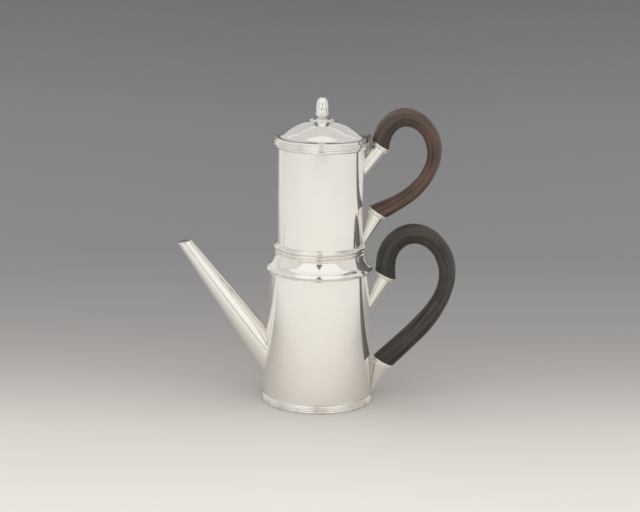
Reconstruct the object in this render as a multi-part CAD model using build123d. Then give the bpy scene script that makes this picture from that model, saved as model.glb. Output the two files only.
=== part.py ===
# A two-tier silver drip coffee pot with wooden handles.
# The lower pot, with its long straight spout, catches the coffee. The upper drum holds the
# grounds on a pierced plate; its plug drops into the mouth of the pot. A hinged lid with an
# acorn finial closes the drum. Each tier has a wooden grip held in two conical sockets.
#
# Millimetres. The origin is the centre of the foot, on the surface that the pot stands on.
# +Z is up, the handles point to +X and the spout to -X.

import math
import os

from build123d import *

# Sheet and fits
wall = 1.2              # thickness of the raised and seamed silver sheet
plug_clearance = 0.3    # radial room between the drum's plug and the mouth of the pot
bezel_clearance = 0.6   # radial room between the lid's bezel and the bore of the drum
swing_gap = 0.35        # room beside the moving knuckle of the lid hinge
pin_fit = 0.05          # radial running fit of the hinge pin
cut_margin = 2.0        # how far a cutting solid runs past the face that it opens
reed_round = 0.9        # how far a half-round ring swells past its flat faces

# Foot of the pot
foot_step = 1.4         # how far the band of the foot stands out past the foot of the body
foot_band_height = 5.2
foot_groove = 0.4
foot_fillet_top = 9.0
foot_ledge = 3.4        # how far the foot ring reaches in under the bottom plate
foot_recess = 2.0       # height of the bottom plate above the table
foot_chamfer = 0.6

# Tapered body of the pot
body_foot_radius = 47.3
body_top_radius = 43.3
body_top_height = 114.4
shoulder_set_in = 0.3
shoulder_rise = 0.9
shoulder_swell = 0.1

# Collar and mouth of the pot
arris_stand_out = 3.1   # how far the sharp edge stands out past the top of the body
arris_rise = 2.9        # from the shoulder up to the sharp edge
lip_rise = 2.4          # narrow band above the sharp edge of the collar
lip_set_in = 1.2
lip_thickness = 1.6
edge_thickness = 1.9    # of the collar at its sharp edge, across
edge_floor = 0.4        # height of the inner corner above the sharp edge
neck_set_in = 4.3       # from the top of the body in to the neck
neck_rise = 13.3        # from the sharp edge up to the neck
flare_sag = 1.6         # how far the flare is drawn in from a straight cone
mouth_set_in = 2.4      # from the neck in to the mouth
mouth_ring_step = 0.3   # from the neck out to the ring round the mouth
mouth_ring_height = 4.4

# Spout
spout_angle = 53.0      # slope of the spout's axis above the horizontal
spout_half_angle = 3.5
spout_tip_x = -116.5
spout_tip_z = 138.0
spout_tip_radius = 5.6
spout_cut_angle = 12.0  # slope of the mouth of the spout, which is nearly level
spout_wall = 1.0
spout_cutter = 45.0     # edge of the block that cuts the spout's mouth
strainer_hole = 3.6
strainer_pitch = 5.6
strainer_rings = 2      # rings of holes behind the root of the spout
strainer_drill = 9.0    # length of the drill, which has to clear the round wall
holes_per_ring = 6      # further holes in each ring of a pierced piece

# Drum
drum_overlap = 0.7      # how far the outside of the drum stands out past the mouth below it
drum_height = 93.0
flange_step_out = 3.0   # from the drum's wall out to the flange
flange_height = 3.9
plug_depth = 12.0
filter_thickness = 1.0
filter_hole = 1.8
filter_rings = 6
filter_ring_pitch = 5.2
rim_height = 6.6
rim_step_out = 3.4      # from the drum's wall out to the upper reed
rim_lower_step_out = 2.4
rim_lower_height = 3.0  # height of the lower reed
rim_groove = 1.0        # depth of the groove between the reeds
rim_step = 0.5          # from the wall out to the foot of the lower reed

# Spreader, a loose pierced plate with a knob that lies on the grounds
spreader_clearance = 0.8
spreader_thickness = 1.2
spreader_hole = 2.4
spreader_rings = 4
spreader_ring_pitch = 6.8
spreader_stem_radius = 1.6
spreader_foot_radius = 3.2
spreader_foot_height = 1.6
spreader_stem_height = 24.0
spreader_knob_radius = 4.2

# Lid
lid_step_out = 1.6      # from the drum's wall out to the edge of the lid
lid_edge_height = 2.2
lid_edge_chamfer = 0.5
brim_width = 5.9
brim_dip = 0.5          # how far the brim is hollowed
brim_rise = 1.2
dome_rise = 12.8
dome_bulge = 1.5        # how far the dome swells out from a straight cone
dome_flat_radius = 10.0
dome_thickness = 1.3
dome_foot_inset = 0.4   # how far the inside of the dome starts in from the outside
bezel_depth = 4.3
bezel_wall = 1.0

# Finial
rosette_radius = 10.5
rosette_edge = 0.9
rosette_undercut = 0.5
rosette_swell = 0.35
rosette_height = 2.4
finial_neck_radius = 3.4
finial_neck_height = 0.7
cup_radius = 5.6
cup_height = 4.3
cup_swell = 0.8
cup_chamfer = 0.5
nut_radius = 5.3
nut_height = 12.6
nut_foot_step = 0.3
nut_belly_height = 2.5
nut_shoulder_radius = 4.8
nut_shoulder_height = 6.9
nut_crown_radius = 2.9
nut_crown_drop = 0.9
nut_swell = 0.35
stud_radius = 1.2
stud_reach = 6.3        # how far the stud goes up into the nut of the acorn
stud_nut_width = 5.0
stud_nut_height = 2.0
stud_tail = 0.8         # how far the stud stands out below its nut

# Lid hinge
hinge_stand_off = 1.8   # from the edge of the lid to the hinge axis
hinge_height = 2.5      # from the top of the drum to the hinge axis
knuckle_radius = 1.5
hinge_pin_radius = 0.65
moving_knuckle_half = 2.9
hinge_half_length = 8.0
leaf_thickness = 1.3
leaf_drop = 5.0         # how far the fixed leaves reach down the rim
lid_tab_length = 4.5
lid_tab_thickness = 1.1

# Handle sockets
flange_thickness = 1.1
flange_rounding = 0.3
tenon_radius = 3.6
tenon_depth = 10.0
tenon_clearance = 0.4   # round the tenon where it goes through the flange
handle_pin_radius = 0.8
handle_pin_depth = 6.5  # from the mouth of a socket down to its cross pin
bead_radius = 0.75
bead_pitch = 1.75
bead_band = 0.5         # thickness of the strip that carries the beads
bead_band_height = 1.65
bead_drop = 0.3         # from the flange down to the strip
cone_point_radius = 0.15
socket_reach = 45.0     # longest run of a cone from its mouth, well inside the vessel

# Each handle stands off a wall and hangs from a level: the drum's wall and its top, and the wall
# and the top of the tapered body. All x are measured out from the wall, and all z from the level.
# A socket has the place (x, z) and radius of its mouth, the radius of the flange round it, the
# slopes of its cone and of the mouth's own normal in degrees below the horizontal, and the
# half-angle of the cone.
upper_top_socket = dict(x=12.9, z=-4.7, radius=6.7, flange=8.8, slope=55.5, mouth=59.0, half=4.0)
upper_low_socket = dict(x=11.8, z=-62.2, radius=7.3, flange=8.6, slope=65.5, mouth=58.5, half=9.5)
lower_top_socket = dict(x=14.3, z=1.6, radius=6.8, flange=9.5, slope=63.0, mouth=65.5, half=7.0)
lower_low_socket = dict(x=10.8, z=-75.4, radius=8.1, flange=9.5, slope=71.5, mouth=63.5, half=13.5)

# Grips: points of the centre line (x, z), which runs past the mouths of the top and the low
# socket, and the diameter at shares of its length
upper_grip_line = [
    (12.5, -9.9),
    (13.7, 1.6),
    (18.3, 11.9),
    (27.7, 19.1),
    (39.3, 19.3),
    (50.7, 11.7),
    (57.3, -0.5),
    (58.4, -13.5),
    (54.3, -26.5),
    (46.1, -38.7),
    (35.3, -48.5),
    (22.5, -56.3),
    (6.2, -64.7),
]
upper_grip_diameters = [(0, 15.2), (0.22, 15.8), (0.42, 13.4), (0.6, 11.6), (0.8, 12.7), (1, 15.6)]
lower_grip_line = [
    (14.4, -4.6),
    (14.8, 8.4),
    (17.1, 21.4),
    (24.3, 32.4),
    (35.9, 38.6),
    (48.3, 37.6),
    (59.0, 30.0),
    (66.2, 17.4),
    (68.0, 3.4),
    (64.7, -11.6),
    (57.2, -26.2),
    (46.2, -40.6),
    (33.0, -54.2),
    (19.8, -66.8),
    (6.2, -79.6),
]
lower_grip_diameters = [
    (0, 18.4),
    (0.08, 17.0),
    (0.25, 17.4),
    (0.42, 15.2),
    (0.57, 13.9),
    (0.78, 17.2),
    (1, 18.2),
]

# Sizes that follow
foot_radius = body_foot_radius + foot_step
shoulder_radius = body_top_radius - shoulder_set_in
shoulder_height = body_top_height + shoulder_rise
arris_radius = body_top_radius + arris_stand_out
arris_height = shoulder_height + arris_rise
neck_radius = body_top_radius - neck_set_in
neck_height = arris_height + neck_rise
mouth_radius = neck_radius - mouth_set_in
mouth_ring_radius = neck_radius + mouth_ring_step
body_taper = (body_top_radius - body_foot_radius) / (body_top_height - foot_fillet_top)
mouth_top = neck_height + mouth_ring_height
drum_radius = mouth_radius + drum_overlap
drum_top_height = mouth_top + drum_height
flange_radius = drum_radius + flange_step_out
rim_radius = drum_radius + rim_step_out
rim_lower_radius = drum_radius + rim_lower_step_out
lid_radius = drum_radius + lid_step_out
drum_floor = mouth_top + wall
filter_top = drum_floor + filter_thickness
drum_bore = drum_radius - wall
plug_radius = mouth_radius - plug_clearance
rim_bottom = drum_top_height - rim_height
lid_top_edge = drum_top_height + lid_edge_height
dome_foot_radius = lid_radius - brim_width
dome_foot_height = lid_top_edge + brim_rise
dome_top = dome_foot_height + dome_rise
dome_underside = dome_top - dome_thickness
rosette_top = dome_top + rosette_height
cup_bottom = rosette_top + finial_neck_height
cup_top = cup_bottom + cup_height
finial_top = cup_top + nut_height
hinge_x = lid_radius + hinge_stand_off
hinge_z = drum_top_height + hinge_height


def spin(outline):
    """Turn a closed outline of (radius, height) edges about the axis of the pot."""
    return revolve(make_face(outline), Axis.Z)


def ring(inner, outer, bottom, top):
    """A plain flat-ended ring, or a disc where the inner radius is 0."""
    body = Cylinder(outer, top - bottom, align=(Align.CENTER, Align.CENTER, Align.MIN))
    if inner > 0:
        body -= Cylinder(inner, top - bottom, align=(Align.CENTER, Align.CENTER, Align.MIN))
    return Pos(0, 0, bottom) * body


def lines(*points):
    """Straight edges through points of the XZ plane, given as (x, z)."""
    return Polyline(*[(x, 0, z) for x, z in points])


def arc(start, middle, end):
    """An arc of the XZ plane through three points, given as (x, z)."""
    return ThreePointArc(*[(x, 0, z) for x, z in (start, middle, end)])


def bulge(start, end, sag):
    """The point that lies off the middle of a chord by the sag, to the left of its direction."""
    run, rise = end[0] - start[0], end[1] - start[1]
    span = math.hypot(run, rise)
    middle = ((start[0] + end[0]) / 2, (start[1] + end[1]) / 2)
    return middle[0] - rise / span * sag, middle[1] + run / span * sag


def cap(start, top):
    """An arc from a point up to the axis, rounded about a centre on the axis."""
    rise = top - start[1]
    radius = (start[0] ** 2 + rise**2) / (2 * rise)
    half_turn = math.atan2(start[0], start[1] - top + radius) / 2
    middle = (radius * math.sin(half_turn), top - radius + radius * math.cos(half_turn))
    return arc(start, middle, (0, top))


def body_radius(height):
    """Outer radius of the tapered body at a height."""
    return body_foot_radius + (height - foot_fillet_top) * body_taper


def foot_ring():
    """The applied foot: a milled band, a groove, and a fillet up to the body."""
    plate_top = foot_recess + wall
    band_in = foot_radius - foot_groove
    fillet_low = (band_in, foot_band_height + foot_groove)
    fillet_high = (body_radius(foot_fillet_top), foot_fillet_top)
    outline = lines(
        fillet_high,
        (body_radius(plate_top), plate_top),
        (body_radius(plate_top), foot_recess),
        (body_radius(plate_top) - foot_ledge, foot_recess),
        (body_radius(plate_top) - foot_ledge, 0),
        (foot_radius - foot_chamfer, 0),
        (foot_radius, foot_chamfer),
        (foot_radius, foot_band_height),
        (band_in, foot_band_height),
        fillet_low,
        fillet_high,
    )
    return spin([outline])


def pot_bottom():
    """The flat plate that closes the pot, let into the foot ring."""
    return ring(0, body_radius(foot_recess + wall), foot_recess, foot_recess + wall)


def pot_body():
    """The tapered wall with its turned-in shoulder, pierced where the spout joins."""
    floor = foot_recess + wall
    outer_low = (body_radius(floor), floor)
    outer_high = (body_top_radius, body_top_height)
    outer_end = (shoulder_radius, shoulder_height)
    inner_end = (shoulder_radius - wall, shoulder_height)
    inner_high = (body_top_radius - wall, body_top_height - wall / 2)
    inner_low = (body_radius(floor) - wall, floor)
    outline = [
        lines(inner_high, inner_low, outer_low, outer_high),
        arc(outer_high, bulge(outer_high, outer_end, -shoulder_swell), outer_end),
        lines(outer_end, inner_end),
        arc(inner_end, bulge(inner_end, inner_high, shoulder_swell), inner_high),
    ]
    return spin(outline) - strainer_holes()


def pot_solid():
    """The body filled solid, to trim what is soldered to its outside."""
    floor = foot_recess + wall
    outer_high = (body_top_radius, body_top_height)
    outer_end = (shoulder_radius, shoulder_height)
    outline = [
        lines((0, shoulder_height), (0, floor), (body_radius(floor), floor), outer_high),
        arc(outer_high, bulge(outer_high, outer_end, -shoulder_swell), outer_end),
        lines(outer_end, (0, shoulder_height)),
    ]
    return spin(outline)


def spout_plane():
    """Origin in the middle of the spout's mouth, +Z back down the spout's axis."""
    slope = math.radians(spout_angle)
    down = (math.cos(slope), 0, -math.sin(slope))
    return Plane(origin=(spout_tip_x, 0, spout_tip_z), x_dir=(0, 1, 0), z_dir=down)


def spout_cone(shrink):
    """The spout's solid cone, from past its mouth to the axis of the pot, less a wall."""
    spread = math.tan(math.radians(spout_half_angle))
    over = spout_tip_radius + cut_margin
    length = over - spout_tip_x / math.cos(math.radians(spout_angle))
    start = spout_tip_radius - over * spread - shrink
    cone = Cone(start, start + length * spread, length, align=(Align.CENTER, Align.CENTER, Align.MIN))
    return spout_plane().offset(-over) * cone


def spout():
    """The long straight spout: a hollow cone with a nearly level mouth."""
    tube = spout_cone(0) - spout_cone(spout_wall)
    block = Box(spout_cutter, spout_cutter, spout_cutter, align=(Align.CENTER, Align.CENTER, Align.MIN))
    block = Pos(spout_tip_x, 0, spout_tip_z) * Rot(0, -spout_cut_angle, 0) * block
    return outermost(tube - block - pot_solid() - foot_ring(), Axis.X, -1)


def ring_places(rings, pitch):
    """Places in rings, each ring with six more than the ring inside it."""
    places = []
    for ring_number in range(1, rings + 1):
        places += PolarLocations(ring_number * pitch, ring_number * holes_per_ring)
    return places


def strainer_holes():
    """Holes in rings about the point where the spout's axis meets the wall."""
    steep = math.tan(math.radians(spout_angle))
    root_z = (spout_tip_z + (spout_tip_x + body_radius(0)) * steep) / (1 - body_taper * steep)
    wall_plane = Plane(origin=(-body_radius(root_z), 0, root_z), x_dir=(0, 1, 0), z_dir=(-1, 0, 0))
    drill = Cylinder(strainer_hole / 2, strainer_drill)
    return [wall_plane * place * drill for place in ring_places(strainer_rings, strainer_pitch)]


def collar():
    """The moulded collar: undercut to a sharp edge, then a hollow flare up to the mouth."""
    foot = (shoulder_radius, shoulder_height)
    edge = (arris_radius, arris_height)
    lip = (arris_radius - lip_set_in, arris_height + lip_rise)
    neck = (neck_radius, neck_height)
    inner_foot = (shoulder_radius - wall, shoulder_height)
    inner_edge = (arris_radius - edge_thickness, arris_height + edge_floor)
    inner_lip = (lip[0] - lip_thickness, lip[1])
    inner_neck = (neck_radius - wall, neck_height)
    outline = [
        lines(inner_foot, foot, edge, lip),
        arc(lip, bulge(lip, neck, flare_sag), neck),
        lines(neck, inner_neck),
        arc(inner_neck, bulge(inner_neck, inner_lip, -flare_sag), inner_lip),
        lines(inner_lip, inner_edge, inner_foot),
    ]
    return spin(outline)


def mouth_ring():
    """The half-round ring round the mouth of the pot, on which the drum stands."""
    flat = mouth_ring_radius - reed_round
    low = (flat, neck_height)
    high = (flat, mouth_top)
    outline = [
        arc(low, (mouth_ring_radius, (neck_height + mouth_top) / 2), high),
        lines(high, (mouth_radius, mouth_top), (mouth_radius, neck_height), low),
    ]
    return spin(outline)


def drum_wall():
    """The straight wall of the upper drum."""
    return ring(drum_bore, drum_radius, drum_floor, drum_top_height - wall)


def drum_flange():
    """The half-round ring round the foot of the drum, with a ledge in under the filter."""
    flat = flange_radius - reed_round
    top = mouth_top + flange_height
    low = (flat, mouth_top)
    high = (flat, top)
    outline = [
        arc(low, (flange_radius, (mouth_top + top) / 2), high),
        lines(
            high,
            (drum_radius, top),
            (drum_radius, drum_floor),
            (plug_radius - wall, drum_floor),
            (plug_radius - wall, mouth_top),
            low,
        ),
    ]
    return spin(outline)


def drum_plug():
    """The sleeve under the drum that centres it in the mouth of the pot."""
    return ring(plug_radius - wall, plug_radius, mouth_top - plug_depth, mouth_top)


def pierced_disc(radius, thickness, bottom, hole, rings, pitch):
    """A flat disc with rings of holes."""
    drill = ring(0, hole / 2, bottom, bottom + thickness)
    holes = [place * drill for place in ring_places(rings, pitch)]
    return ring(0, radius, bottom, bottom + thickness) - holes


def filter_plate():
    """The pierced floor of the drum."""
    return pierced_disc(
        drum_bore, filter_thickness, drum_floor, filter_hole, filter_rings, filter_ring_pitch
    )


def drum_rim():
    """Two reeds round the mouth of the drum, and the flat top that the lid rests on."""
    ledge = drum_top_height - wall
    split_height = rim_bottom + rim_lower_height
    start = (drum_radius + rim_step, rim_bottom)
    waist = (rim_lower_radius - rim_groove, split_height)
    end = (rim_radius - reed_round, drum_top_height)
    outline = [
        arc(start, (rim_lower_radius, (rim_bottom + split_height) / 2), waist),
        arc(waist, (rim_radius, (split_height + drum_top_height) / 2), end),
        lines(
            end,
            (drum_bore, drum_top_height),
            (drum_bore, ledge),
            (drum_radius, ledge),
            (drum_radius, rim_bottom),
            start,
        ),
    ]
    return spin(outline)


def spreader_plate():
    """The loose pierced plate that lies inside the drum."""
    radius = drum_bore - spreader_clearance
    return pierced_disc(
        radius, spreader_thickness, filter_top, spreader_hole, spreader_rings, spreader_ring_pitch
    )


def spreader_knob():
    """The stem and ball by which the spreader is lifted out."""
    base = filter_top + spreader_thickness
    centre = base + spreader_stem_height - spreader_knob_radius
    foot = Cone(
        spreader_foot_radius,
        spreader_stem_radius,
        spreader_foot_height,
        align=(Align.CENTER, Align.CENTER, Align.MIN),
    )
    ball = Pos(0, 0, centre) * Sphere(spreader_knob_radius)
    return ring(0, spreader_stem_radius, base, centre) + Pos(0, 0, base) * foot + ball


def lid_shell():
    """The raised lid: an upright edge, a hollowed brim, and a dome."""
    edge_low = (lid_radius, drum_top_height)
    edge_mid = (lid_radius, lid_top_edge - lid_edge_chamfer)
    edge_high = (lid_radius - lid_edge_chamfer, lid_top_edge)
    dome_foot = (dome_foot_radius, dome_foot_height)
    dome_end = (dome_flat_radius, dome_top)
    under_foot = (dome_foot_radius - dome_foot_inset, dome_foot_height - wall)
    under_end = (dome_flat_radius, dome_underside)
    under_brim = (drum_bore - bezel_clearance - bezel_wall, drum_top_height)
    outline = [
        lines((0, dome_top), (0, dome_underside), under_end),
        arc(under_end, bulge(under_end, under_foot, dome_bulge), under_foot),
        lines(under_foot, under_brim, edge_low, edge_mid, edge_high),
        arc(edge_high, bulge(edge_high, dome_foot, brim_dip), dome_foot),
        arc(dome_foot, bulge(dome_foot, dome_end, -dome_bulge), dome_end),
        lines(dome_end, (0, dome_top)),
    ]
    return spin(outline) - ring(0, stud_radius, dome_underside - cut_margin, dome_top)


def lid_bezel():
    """The sleeve under the lid that drops into the drum."""
    outer = drum_bore - bezel_clearance
    return ring(outer - bezel_wall, outer, drum_top_height - bezel_depth, drum_top_height)


def finial_rosette():
    """The small spreading calyx under the acorn."""
    rim_high = (rosette_radius, dome_top + rosette_edge)
    neck = (finial_neck_radius, rosette_top)
    outline = [
        lines(
            neck,
            (stud_radius, rosette_top),
            (stud_radius, dome_top),
            (rosette_radius - rosette_undercut, dome_top),
            rim_high,
        ),
        arc(rim_high, bulge(rim_high, neck, -rosette_swell), neck),
    ]
    return spin(outline)


def finial_cup():
    """The cup of the acorn, on a short neck."""
    low = (finial_neck_radius, cup_bottom)
    high = (cup_radius, cup_top - cup_chamfer)
    outline = [
        lines(
            (cup_radius - cup_chamfer, cup_top),
            (stud_radius, cup_top),
            (stud_radius, rosette_top),
            (finial_neck_radius, rosette_top),
            low,
        ),
        arc(low, bulge(low, high, -cup_swell), high),
        lines(high, (cup_radius - cup_chamfer, cup_top)),
    ]
    return spin(outline)


def finial_nut():
    """The nut of the acorn, blunt at the top, bored for the stud."""
    foot = (nut_radius - nut_foot_step, cup_top)
    shoulder = (nut_shoulder_radius, cup_top + nut_shoulder_height)
    crown = (nut_crown_radius, finial_top - nut_crown_drop)
    outline = [
        lines((0, cup_top), foot),
        arc(foot, (nut_radius, cup_top + nut_belly_height), shoulder),
        arc(shoulder, bulge(shoulder, crown, -nut_swell), crown),
        cap(crown, finial_top),
        lines((0, finial_top), (0, cup_top)),
    ]
    return spin(outline) - ring(0, stud_radius, cup_top, cup_top + stud_reach)


def finial_stud():
    """The rod that draws the finial down on the lid."""
    return ring(0, stud_radius, dome_underside - stud_nut_height - stud_tail, cup_top + stud_reach)


def finial_stud_nut():
    """The square nut on the stud, inside the lid."""
    bottom = dome_underside - stud_nut_height
    block = Box(
        stud_nut_width, stud_nut_width, stud_nut_height, align=(Align.CENTER, Align.CENTER, Align.MIN)
    )
    return Pos(0, 0, bottom) * block - ring(0, stud_radius, bottom, dome_underside)


def hinge_barrel(radius, start, end):
    """A rod along the hinge axis between two places in y."""
    rod = Cylinder(radius, end - start, align=(Align.CENTER, Align.CENTER, Align.MIN))
    return Plane(origin=(hinge_x, start, hinge_z), x_dir=(1, 0, 0), z_dir=(0, 1, 0)) * rod


def hinge_fixed_leaves():
    """The two outer knuckles, each on a leaf fitted to the rim of the drum."""
    start = moving_knuckle_half + swing_gap
    length = hinge_half_length - start
    leaves = []
    for side in (-1, 1):
        near, far = sorted((side * start, side * hinge_half_length))
        inner_x = lid_radius + swing_gap
        leaf = Box(
            hinge_x + leaf_thickness - inner_x,
            length,
            hinge_height + leaf_drop,
            align=(Align.MIN, Align.MIN, Align.MAX),
        )
        leaf = Pos(inner_x, near, hinge_z) * leaf
        leaf = outermost(leaf - drum_rim() - ring(0, drum_radius, 0, drum_top_height), Axis.X, 1)
        knuckle = hinge_barrel(knuckle_radius, near, far)
        leaves.append(leaf + knuckle - hinge_barrel(hinge_pin_radius, near, far))
    return leaves[0] + leaves[1]


def hinge_pin():
    """The pin through all three knuckles."""
    return hinge_barrel(hinge_pin_radius, -hinge_half_length, hinge_half_length)


def lid_knuckle():
    """The middle knuckle, on a tab soldered to the brim of the lid."""
    near, far = -moving_knuckle_half, moving_knuckle_half
    tab = Box(
        hinge_stand_off + lid_tab_length,
        2 * moving_knuckle_half,
        knuckle_radius,
        align=(Align.MAX, Align.CENTER, Align.MIN),
    )
    tab = Pos(hinge_x, 0, hinge_z + lid_tab_thickness - knuckle_radius) * tab
    tab -= lid_shell()
    tab = outermost(tab, Axis.Z, 1)
    knuckle = tab + hinge_barrel(knuckle_radius, near, far)
    return knuckle - hinge_barrel(hinge_pin_radius + pin_fit, near, far)


def outermost(shape, axis, sign):
    """The solid that lies furthest along an axis, where a cut leaves an offcut behind."""
    return shape.solids().sort_by(axis)[-1 if sign > 0 else 0]


def placed(points, wall_radius, level):
    """Points (x, z) of a handle moved to the wall and the level that they are measured from."""
    return [(wall_radius(level + z) + x, level + z) for x, z in points]


def placed_socket(socket, wall_radius, level):
    """A socket moved to the wall and the level that it is measured from."""
    (x, z), = placed([(socket["x"], socket["z"])], wall_radius, level)
    return socket | dict(x=x, z=z)


def drum_wall_radius(height):
    """Outer radius of the drum, the same at any height."""
    return drum_radius


def below(angle):
    """Unit direction in the handle plane, down towards the pot at an angle in degrees."""
    return -math.cos(math.radians(angle)), -math.sin(math.radians(angle))


def socket_plane(socket):
    """Origin in the middle of a socket's mouth, +Z down the axis of its cone."""
    run, drop = below(socket["slope"])
    return Plane(origin=(socket["x"], 0, socket["z"]), x_dir=(0, 1, 0), z_dir=(run, 0, drop))


def mouth_plane(socket):
    """Origin in the middle of a socket's mouth, +Z square to the mouth, down into it."""
    run, drop = below(socket["mouth"])
    return Plane(origin=(socket["x"], 0, socket["z"]), x_dir=(0, 1, 0), z_dir=(run, 0, drop))


def mouth_block(socket, lift, side):
    """A round block on one side of a plane that lies a lift above a socket's mouth."""
    block = Cylinder(2 * socket["radius"], 2 * socket["radius"], align=(Align.CENTER, Align.CENTER, side))
    return mouth_plane(socket).offset(-lift) * block


def handle_cone(socket, vessel):
    """A conical socket, trimmed to its mouth and to the vessel's solids, bored for the tenon."""
    spread = math.tan(math.radians(socket["half"]))
    over = socket["radius"] / 2
    top = socket["radius"] + over * spread
    length = over + min((socket["radius"] - cone_point_radius) / spread, socket_reach)
    cone = Cone(top, top - length * spread, length, align=(Align.CENTER, Align.CENTER, Align.MIN))
    cone = socket_plane(socket).offset(-over) * cone
    cone -= mouth_block(socket, 0, Align.MAX)
    for solid in vessel:
        cone = outermost(cone - solid, Axis.X, 1)
    return cone - tenon_rod(socket) - pin_rod(socket)


def tenon_rod(socket):
    """The round tenon of a grip, from inside the grip down into its socket."""
    root = flange_thickness + cut_margin
    rod = Cylinder(tenon_radius, tenon_depth + root, align=(Align.CENTER, Align.CENTER, Align.MIN))
    return socket_plane(socket).offset(-root) * rod


def pin_rod(socket):
    """The cross pin that holds a tenon in its socket, flush with the cone's sides."""
    spread = math.tan(math.radians(socket["half"]))
    half = socket["radius"] - handle_pin_depth * spread
    rod = Rot(0, 90, 0) * Cylinder(handle_pin_radius, 2 * half)
    return socket_plane(socket).offset(handle_pin_depth) * rod


def socket_flange(socket):
    """The flat flange round a socket's mouth."""
    align = (Align.CENTER, Align.CENTER, Align.MAX)
    disc = Cylinder(socket["flange"], flange_thickness, align=align)
    disc = fillet(disc.edges().filter_by(GeomType.CIRCLE), flange_rounding)
    disc -= Cylinder(tenon_radius + tenon_clearance, flange_thickness, align=align)
    return mouth_plane(socket) * disc


def socket_beads(socket):
    """The beaded strip round the cone, close under the flange."""
    spread = math.tan(math.radians(socket["half"]))
    tilt = math.tan(math.radians(abs(socket["slope"] - socket["mouth"])))
    start = socket["radius"] * tilt + bead_drop
    high = socket["radius"] - start * spread
    low = high - bead_band_height * spread
    align = (Align.CENTER, Align.CENTER, Align.MIN)
    cone = Cone(high, low, bead_band_height, align=align)
    strip = Cone(high + bead_band, low + bead_band, bead_band_height, align=align)
    bead_ring = (high + low) / 2 + bead_band
    count = round(2 * math.pi * bead_ring / bead_pitch)
    bead = Pos(0, 0, bead_band_height / 2) * Sphere(bead_radius)
    strip += [place * bead for place in PolarLocations(bead_ring, count)]
    return socket_plane(socket).offset(start) * (strip - cone)


def grip(line, diameters, sockets):
    """A bent wooden grip, cut to the flanges of its two sockets, with its tenons."""
    path = Spline(*[(x, 0, z) for x, z in line])
    sections = []
    for share, diameter in diameters:
        across = Plane(origin=path.position_at(share), x_dir=(0, 1, 0), z_dir=path.tangent_at(share))
        sections.append(across * Circle(diameter / 2))
    wood = sweep(sections=sections, path=path, multisection=True)
    for socket in sockets:
        wood -= mouth_block(socket, flange_thickness, Align.MIN)
    for socket in sockets:
        wood = wood + tenon_rod(socket) - pin_rod(socket)
    return wood


def handle_nodes(name, sockets, vessel, wood):
    """The silver and wood of one handle, by node name."""
    nodes = {}
    for place, socket in zip(("top", "low"), sockets):
        nodes[f"{name}_{place}_socket"] = handle_cone(socket, vessel)
        nodes[f"{name}_{place}_flange"] = socket_flange(socket)
        nodes[f"{name}_{place}_beads"] = socket_beads(socket)
    nodes[f"{name}_grip"] = wood
    nodes[f"{name}_pins"] = Part() + [pin_rod(socket) for socket in sockets]
    return nodes


def main():
    os.makedirs("parts", exist_ok=True)
    nodes = {
        "foot_ring": foot_ring(),
        "pot_bottom": pot_bottom(),
        "pot_body": pot_body(),
        "collar": collar(),
        "mouth_ring": mouth_ring(),
        "spout": spout(),
        "drum_wall": drum_wall(),
        "drum_flange": drum_flange(),
        "drum_plug": drum_plug(),
        "filter_plate": filter_plate(),
        "drum_rim": drum_rim(),
        "spreader_plate": spreader_plate(),
        "spreader_knob": spreader_knob(),
        "lid_shell": lid_shell(),
        "lid_bezel": lid_bezel(),
        "finial_rosette": finial_rosette(),
        "finial_cup": finial_cup(),
        "finial_nut": finial_nut(),
        "finial_stud": finial_stud(),
        "finial_stud_nut": finial_stud_nut(),
        "hinge_fixed_leaves": hinge_fixed_leaves(),
        "hinge_pin": hinge_pin(),
        "lid_knuckle": lid_knuckle(),
    }
    drum = [ring(0, drum_radius, drum_floor, drum_top_height), nodes["drum_flange"], nodes["drum_rim"]]
    place = (drum_wall_radius, drum_top_height)
    sockets = [placed_socket(socket, *place) for socket in (upper_top_socket, upper_low_socket)]
    wood = grip(placed(upper_grip_line, *place), upper_grip_diameters, sockets)
    nodes |= handle_nodes("drum_handle", sockets, drum, wood)
    pot = [pot_solid(), nodes["foot_ring"]]
    place = (body_radius, body_top_height)
    sockets = [placed_socket(socket, *place) for socket in (lower_top_socket, lower_low_socket)]
    wood = grip(placed(lower_grip_line, *place), lower_grip_diameters, sockets)
    nodes |= handle_nodes("pot_handle", sockets, pot, wood)
    for name, node in nodes.items():
        print(name)
        export_step(node, f"parts/{name}.step")


main()
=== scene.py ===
# A two-tier silver drip coffee pot with wooden handles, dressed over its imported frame.
# Metres, in the frame of the CAD: +Z up, handles to +X, spout to -X, the viewer at -Y.
import math

import bmesh
import bpy
from mathutils import Matrix, Vector


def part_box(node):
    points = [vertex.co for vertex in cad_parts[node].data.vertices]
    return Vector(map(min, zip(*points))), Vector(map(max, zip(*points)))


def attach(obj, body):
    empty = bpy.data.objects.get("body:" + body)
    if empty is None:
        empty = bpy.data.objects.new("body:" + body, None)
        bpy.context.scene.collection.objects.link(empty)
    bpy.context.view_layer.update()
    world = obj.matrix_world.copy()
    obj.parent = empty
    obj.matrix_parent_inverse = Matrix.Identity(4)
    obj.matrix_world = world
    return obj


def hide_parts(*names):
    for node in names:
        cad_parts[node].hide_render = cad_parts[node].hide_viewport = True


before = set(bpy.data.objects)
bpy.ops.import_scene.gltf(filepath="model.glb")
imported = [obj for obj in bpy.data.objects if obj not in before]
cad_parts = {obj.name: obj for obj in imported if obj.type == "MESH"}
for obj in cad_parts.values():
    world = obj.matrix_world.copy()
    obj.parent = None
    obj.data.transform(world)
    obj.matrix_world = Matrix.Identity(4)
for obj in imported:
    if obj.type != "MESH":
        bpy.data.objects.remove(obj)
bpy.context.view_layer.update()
scene = bpy.context.scene
scene.view_settings.view_transform = "Standard"
mm = 0.001

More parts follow.
